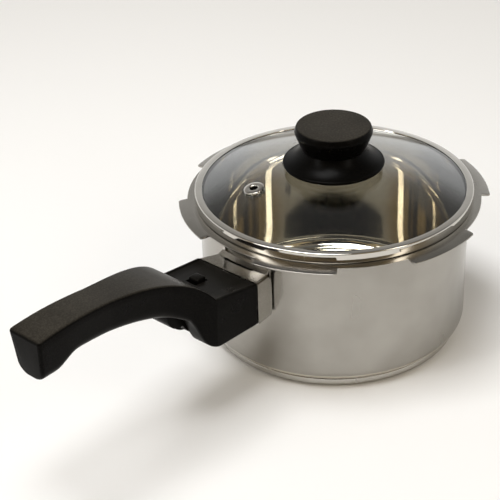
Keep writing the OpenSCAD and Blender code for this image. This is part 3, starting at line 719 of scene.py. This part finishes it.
def flame_guard():
    near = PAN_R - 4
    guard = guard_tube("flame_guard_sheet", 0.0, near, BLOCK_X - 0.1, 2.2)
    ledge_z = seat_at(SEAM_R)
    corner_r, corner_x = 5.0, 89.0
    corner = (corner_x + corner_r, seat_at(corner_x) - BLOCK_H + corner_r)
    wall = [(0, -60), (PAN_R + 1.52, -60), (PAN_R + 1.52, 4), (PAN_R + 2.9, 16), (PAN_R + 2.9, 60), (0, 60)]
    heel = [(80, 40), (corner[0], 40)] + arc(*corner, corner_r, -90, -180, 10) + [(80, corner[1])]
    cutters = [
        guard_tube("cutter", 1.0, near - 2, BLOCK_X + 2, 1.2),
        rod("cutter", wall, (0, 0, 70), (0, 0, 1), 360, False),
        prism("cutter", heel, -BLOCK_HW, BLOCK_HW),
        drill(SEAM_R + 0.05, 0, 40, (0, 0, ledge_z - 3), (0, 0, 1), 360),
        ring_sector(SEAM_R - 0.7, SEAM_R + 1.2, -8.4, 6.5, ledge_z - 5, ledge_z + 7),
    ]
    return cut(guard, cutters, 28)


place(flame_guard(), "pan", "flame_guard", SATIN_STEEL)


# ---------------------------------------------------------------- lid
def dome_at(r, drop=0.0):
    return DOME_C + math.sqrt((DOME_R - drop) ** 2 - r * r)


def vent_frame():
    """Place and axis of the steam vent on the dome."""
    tilt = math.asin(VENT_R / DOME_R)
    axis = (math.sin(tilt) * math.cos(VENT_ANGLE), math.sin(tilt) * math.sin(VENT_ANGLE), math.cos(tilt))
    origin = (DOME_R * axis[0], DOME_R * axis[1], DOME_C + DOME_R * axis[2])
    return origin, axis


def lid_glass():
    bore, ease = 4.0, 0.5
    top = [(bore, dome_at(bore) - ease), (bore + ease, dome_at(bore))]
    top += [(r, dome_at(r)) for r in range(6, 92, 2)] + [(GLASS_R - ease, dome_at(GLASS_R - ease))]
    low = [(GLASS_R, dome_at(GLASS_R) - ease), (GLASS_R, dome_at(GLASS_R, GLASS_T) + ease)]
    low += [(GLASS_R - ease, dome_at(GLASS_R - ease, GLASS_T))]
    low += [(r, dome_at(r, GLASS_T)) for r in range(90, 4, -2)] + [(bore, dome_at(bore, GLASS_T))]
    pane = lathe("lid_glass_dome", top + low, 256)
    origin, axis = vent_frame()
    return cut(pane, [drill(4.2, -20, 10, origin, axis)])


place(lid_glass(), "lid", "lid_glass", GLASS)


def lid_rim_band():
    """Rolled strip: lip over the glass, outer wall, flat on the flange, inner wall into the pan."""
    soft, t = 0.9, BAND_T
    ledge_top = dome_at(PLUG_R) - GLASS_T / math.cos(math.asin(PLUG_R / DOME_R)) - 0.12
    outline = [(LIP_R, BAND_TOP - t), (LIP_R - 0.1, BAND_TOP - t / 2), (LIP_R + 0.1, BAND_TOP - 0.02)]
    outline += arc(BAND_R - soft, BAND_TOP - soft, soft, 90, 0, 6)
    outline += [(BAND_R, BAND_Z + 4), (BAND_R, BAND_Z + 2)]
    outline += arc(BAND_R - soft, BAND_Z + soft, soft, 0, -90, 6)
    outline += [(PLUG_R + 1, BAND_Z), (PLUG_R + 0.2, BAND_Z - 0.2), (PLUG_R, BAND_Z - 1)]
    outline += [(PLUG_R, BAND_Z - 5.8), (PLUG_R - t / 2, BAND_Z - 6), (PLUG_R - t, BAND_Z - 5.8)]
    outline += [(PLUG_R - t, ledge_top), (PLUG_R, ledge_top), (PLUG_R, BAND_Z + t)]
    outline += arc(BAND_R - soft, BAND_Z + soft, soft - t, -90, 0, 4)
    outline += arc(BAND_R - soft, BAND_TOP - soft, soft - t, 0, 90, 4)
    return lathe("lid_rim_band_strip", outline, 256)


place(lid_rim_band(), "lid", "lid_rim_band", BAND_STEEL)


def vent_eyelet():
    origin, axis = vent_frame()
    flange, tube, hole = 6.8, 4.15, 2.7
    outline = [(tube, 0.02), (flange - 0.3, 0.02)] + arc(flange - 0.5, 0.5, 0.5, -60, 80, 6)
    outline += [(flange - 1.6, 1.12), (hole + 1.1, 1.1)] + arc(hole + 0.8, 0.3, 0.8, 90, 180, 6)
    outline += [(hole, -GLASS_T - 2.0), (hole + 0.3, -GLASS_T - 2.4), (tube - 0.3, -GLASS_T - 2.4),
                (tube, -GLASS_T - 2.1)]
    return rod("vent_eyelet_turned", outline, origin, axis, 96)


place(vent_eyelet(), "lid", "vent_eyelet", BAND_STEEL)


def band_seam():
    """Thin weld line across the lid band, where the strip's two ends meet."""
    a = math.radians(27.6)
    width, lift = 0.28, 0.05
    low, high = BAND_Z + 0.6, BAND_TOP - 0.6
    outline = [(-width, low), (width, low), (width, high), (-width, high)]
    verts = []
    for r in (BAND_R - 0.2, BAND_R + lift):
        for s, z in outline:
            verts.append((r * math.cos(a) - s * math.sin(a), r * math.sin(a) + s * math.cos(a), z))
    faces = [(3, 2, 1, 0), (4, 5, 6, 7)] + [(i, (i + 1) % 4, (i + 1) % 4 + 4, i + 4) for i in range(4)]
    return bevel(piece("lid_band_weld", verts, faces), 0.04, 2, 40)


weld = band_seam()
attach(weld, "lid")
weld.data.materials.append(SATIN_STEEL)


# ---------------------------------------------------------------- knob
def rounded(outline, radii, steps=6):
    """Outline whose inner corners are replaced by curves that start a radius before each corner."""
    out = [outline[0]]
    for i, r in zip(range(1, len(outline) - 1), radii):
        here, before, after = (Vector(outline[k]) for k in (i, i - 1, i + 1))
        a, b = here + (before - here).normalized() * r, here + (after - here).normalized() * r
        for k in range(steps + 1):
            t = k / steps
            out.append(tuple(a * (1 - t) ** 2 + here * 2 * t * (1 - t) + b * t * t))
    return out + [outline[-1]]


def knob_grip():
    foot = CAP_Z + 0.02
    side = rounded([(12, foot), (NECK_R, foot), (KNOB_R, KNOB_TOP - KNOB_EDGE_H),
                    (KNOB_R - KNOB_EDGE_IN, KNOB_TOP), (14, KNOB_TOP)], (0.5, 1.2, 1.1))
    outline = [(0, CAP_Z + 11.2), (4.45, CAP_Z + 11.2), (4.45, foot)] + side + [(7, KNOB_TOP), (0, KNOB_TOP)]
    return lathe("knob_grip_cap", outline, 192, closed=False)


place(knob_grip(), "lid", "knob_grip", KNOB_BLACK)


def knob_skirt():
    rim_r, sweep_r = SKIRT_RIM / 2, 21.0
    neck, rim = Vector((NECK_R, CAP_Z)), Vector((SKIRT_R - rim_r, SKIRT_Z + SKIRT_RIM))
    half = (rim - neck).length / 2
    side = Vector((neck.y - rim.y, rim.x - neck.x)) / (2 * half)
    centre = (neck + rim) / 2 + side * math.sqrt(sweep_r ** 2 - half ** 2)
    a0 = math.degrees(math.atan2(neck.y - centre.y, neck.x - centre.x)) % 360
    a1 = math.degrees(math.atan2(rim.y - centre.y, rim.x - centre.x)) % 360
    sweep = arc(*centre, sweep_r, a0, a1, 24)
    outline = [(2.8, CAP_Z), (NECK_R - 0.3, CAP_Z)] + sweep
    outline += arc(SKIRT_R - rim_r, SKIRT_Z + rim_r, rim_r, 80, -90, 12)
    outline += [(SKIRT_R - 2.6, SKIRT_Z), (SKIRT_R - 3.0, SKIRT_Z + 0.6)]
    outline += [(r, z - 2.1) for r, z in reversed(sweep) if 15 < r < SKIRT_R - 3.2]
    outline += [(14.2, CAP_Z - 3), (14, SKIRT_Z), (2.8, SKIRT_Z)]
    return lathe("knob_skirt_flare", outline, 192)


place(knob_skirt(), "lid", "knob_skirt", KNOB_BLACK)


# ---------------------------------------------------------------- stage, light and camera
VIEW_AZIMUTH = math.radians(38.7)
VIEW_WAY = (math.cos(VIEW_AZIMUTH), math.sin(VIEW_AZIMUTH))
SWEEP_WHITE = (0.98, 0.98, 0.975)
SWEEP_MID = (0.40, 0.39, 0.37)
SWEEP_HIGH = (0.16, 0.155, 0.15)
ROOM_LOW = (0.30, 0.25, 0.19)
ROOM_WARM = (0.42, 0.325, 0.19)
ROOM_DARK = (0.05, 0.045, 0.04)


def floor():
    bm = bmesh.new()
    bmesh.ops.create_circle(bm, cap_ends=True, segments=128, radius=14.0)
    mesh = bpy.data.meshes.new("studio_floor")
    bm.to_mesh(mesh)
    bm.free()
    obj = bpy.data.objects.new("studio_floor", mesh)
    obj.location.z = -0.0002
    bpy.context.scene.collection.objects.link(obj)
    look = Look("studio_floor")
    look.feed("Base Color", look.blend(look.noise(0.8, 2), (0.86, 0.86, 0.855), (0.90, 0.90, 0.895)))
    look.shader.inputs["Roughness"].default_value = 0.75
    mesh.materials.append(look.material)


def softbox(name, azimuth, elevation, distance, size, power, tint=(1, 1, 1)):
    """Large area light aimed at the pan from a direction."""
    data = bpy.data.lights.new(name, "AREA")
    data.shape = "RECTANGLE"
    data.size, data.size_y = size
    data.energy = power
    data.color = tint
    obj = bpy.data.objects.new(name, data)
    a, e = math.radians(azimuth), math.radians(elevation)
    way = Vector((math.cos(a) * math.cos(e), math.sin(a) * math.cos(e), math.sin(e)))
    obj.location = Vector((0, 0, 0.06)) + way * distance
    obj.rotation_euler = (-way).to_track_quat("-Z", "Y").to_euler()
    bpy.context.scene.collection.objects.link(obj)


def studio_world():
    """Pale sweep behind the pan and a dim warm room behind the camera."""
    world = bpy.data.worlds.new("studio_world")
    world.use_nodes = True
    tree = world.node_tree

    def add(kind, **values):
        node = tree.nodes.new(kind)
        for key, value in values.items():
            setattr(node, key, value)
        return node

    def ramp(source, stops):
        node = add("ShaderNodeValToRGB")
        marks = node.color_ramp.elements
        marks[0].position, marks[0].color = stops[0][0], (*stops[0][1], 1)
        marks[1].position, marks[1].color = stops[-1][0], (*stops[-1][1], 1)
        for position, colour in stops[1:-1]:
            marks.new(position).color = (*colour, 1)
        tree.links.new(source, node.inputs["Fac"])
        return node.outputs["Color"]

    direction = add("ShaderNodeTexCoord").outputs["Generated"]
    height = add("ShaderNodeSeparateXYZ")
    tree.links.new(direction, height.inputs["Vector"])
    front = add("ShaderNodeVectorMath", operation="DOT_PRODUCT")
    tree.links.new(direction, front.inputs[0])
    front.inputs[1].default_value = (*VIEW_WAY, 0)
    sweep = ramp(height.outputs["Z"], [(0.0, SWEEP_WHITE), (0.36, SWEEP_WHITE), (0.53, SWEEP_MID),
                                       (0.72, SWEEP_HIGH), (1.0, SWEEP_HIGH)])
    room = ramp(height.outputs["Z"], [(0.0, ROOM_LOW), (0.3, ROOM_WARM), (0.75, ROOM_WARM),
                                      (1.0, SWEEP_HIGH)])

    def fade(low, high, first, second):
        """Change from one colour to another as the direction turns to the camera's side."""
        span = add("ShaderNodeMapRange", interpolation_type="SMOOTHSTEP")
        span.inputs["From Min"].default_value = low
        span.inputs["From Max"].default_value = high
        tree.links.new(front.outputs["Value"], span.inputs["Value"])
        mix = add("ShaderNodeMix", data_type="RGBA")
        sockets = {socket.identifier: socket for socket in mix.inputs}
        tree.links.new(span.outputs["Result"], sockets["Factor_Float"])
        tree.links.new(first, sockets["A_Color"])
        if isinstance(second, tuple):
            sockets["B_Color"].default_value = (*second, 1)
        else:
            tree.links.new(second, sockets["B_Color"])
        return [socket for socket in mix.outputs if socket.identifier == "Result_Color"][0]

    clutter = add("ShaderNodeTexNoise")
    clutter.inputs["Scale"].default_value = 3.2
    clutter.inputs["Detail"].default_value = 4.0
    tree.links.new(direction, clutter.inputs["Vector"])
    patches = ramp(clutter.outputs["Fac"], [(0.40, ROOM_DARK), (0.47, ROOM_WARM), (0.62, ROOM_WARM),
                                            (1.0, ROOM_WARM)])
    room = fade(0.55, 0.62, room, patches)
    result = fade(-0.15, 0.45, sweep, fade(0.93, 0.95, room, ROOM_DARK))
    seen = add("ShaderNodeBackground")
    seen.inputs["Color"].default_value = (*SWEEP_WHITE, 1)
    picker, sight = add("ShaderNodeMixShader"), add("ShaderNodeLightPath")
    tree.links.new(result, tree.nodes["Background"].inputs["Color"])
    tree.links.new(sight.outputs["Is Camera Ray"], picker.inputs["Fac"])
    tree.links.new(tree.nodes["Background"].outputs["Background"], picker.inputs[1])
    tree.links.new(seen.outputs["Background"], picker.inputs[2])
    tree.links.new(picker.outputs["Shader"], tree.nodes["World Output"].inputs["Surface"])
    bpy.context.scene.world = world


def camera():
    """Camera above and in front of the handle, swung slightly so that the pan sits right of centre."""
    azimuth, elevation = VIEW_AZIMUTH, math.radians(30.86)
    distance, swing, nod = 0.97868, math.radians(3.371), math.radians(0.18)
    back = Vector((math.cos(azimuth) * math.cos(elevation), math.sin(azimuth) * math.cos(elevation),
                   math.sin(elevation)))
    right = Vector((-math.sin(azimuth), math.cos(azimuth), 0))
    basis = Matrix((right, back.cross(right), back)).transposed().to_4x4()
    data = bpy.data.cameras.new("photo_camera")
    data.sensor_width, data.lens = 36.0, 102.16
    obj = bpy.data.objects.new("photo_camera", data)
    obj.matrix_world = (Matrix.Translation(Vector((0, 0, 0.05)) + back * distance) @ basis
                        @ Matrix.Rotation(swing, 4, "Y") @ Matrix.Rotation(nod, 4, "X"))
    bpy.context.scene.collection.objects.link(obj)
    bpy.context.scene.camera = obj


floor()
studio_world()
softbox("overhead_softbox", azimuth=-12, elevation=77, distance=1.6, size=(1.0, 0.6), power=20)
softbox("left_softbox", azimuth=-20, elevation=35, distance=1.9, size=(0.34, 1.2), power=7)
softbox("right_softbox", azimuth=93, elevation=35, distance=1.9, size=(0.3, 1.2), power=6,
        tint=(1.0, 0.95, 0.88))
camera()
bpy.context.scene.view_settings.view_transform = "Standard"
